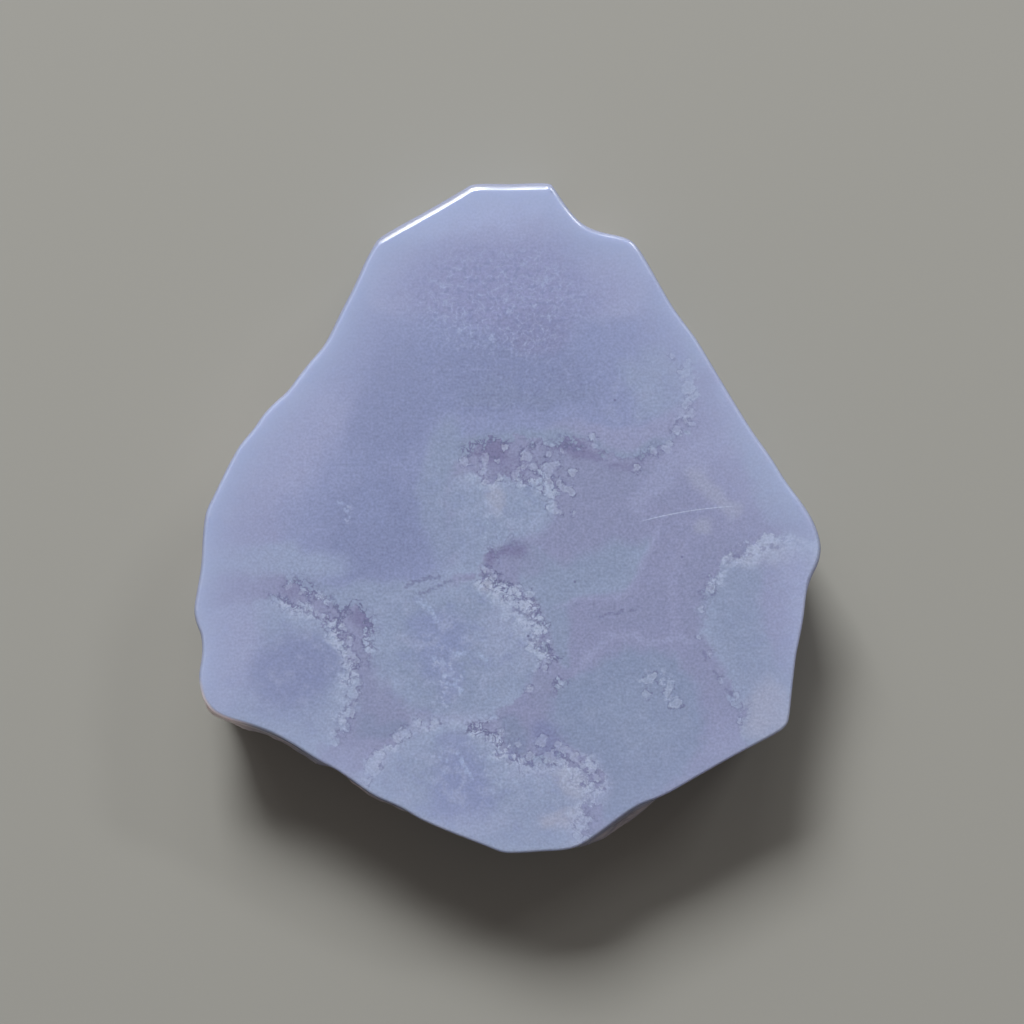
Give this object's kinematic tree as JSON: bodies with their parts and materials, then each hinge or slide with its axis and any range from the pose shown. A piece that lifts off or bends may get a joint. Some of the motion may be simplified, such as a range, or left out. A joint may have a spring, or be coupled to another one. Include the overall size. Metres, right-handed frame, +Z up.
{
  "type": "blue lace agate slab",
  "caption": "Thick freeform slab of blue chalcedony with a flat polished face, a bevelled rim and part-natural sides, for display or as a base.",
  "frame": {"origin": "middle of the slab's box, on the surface that its sawn underside lies on", "axes": "+Z up, out of the polished face; +Y along the slab's longest side, towards its short straight end"},
  "size_m": [0.0784, 0.084, 0.014],
  "materials": {
    "blue_chalcedony": "polished face and rim, sides ground or natural"
  },
  "bodies": {
    "root": {"slab": "blue_chalcedony"}
  },
  "joints": []
}
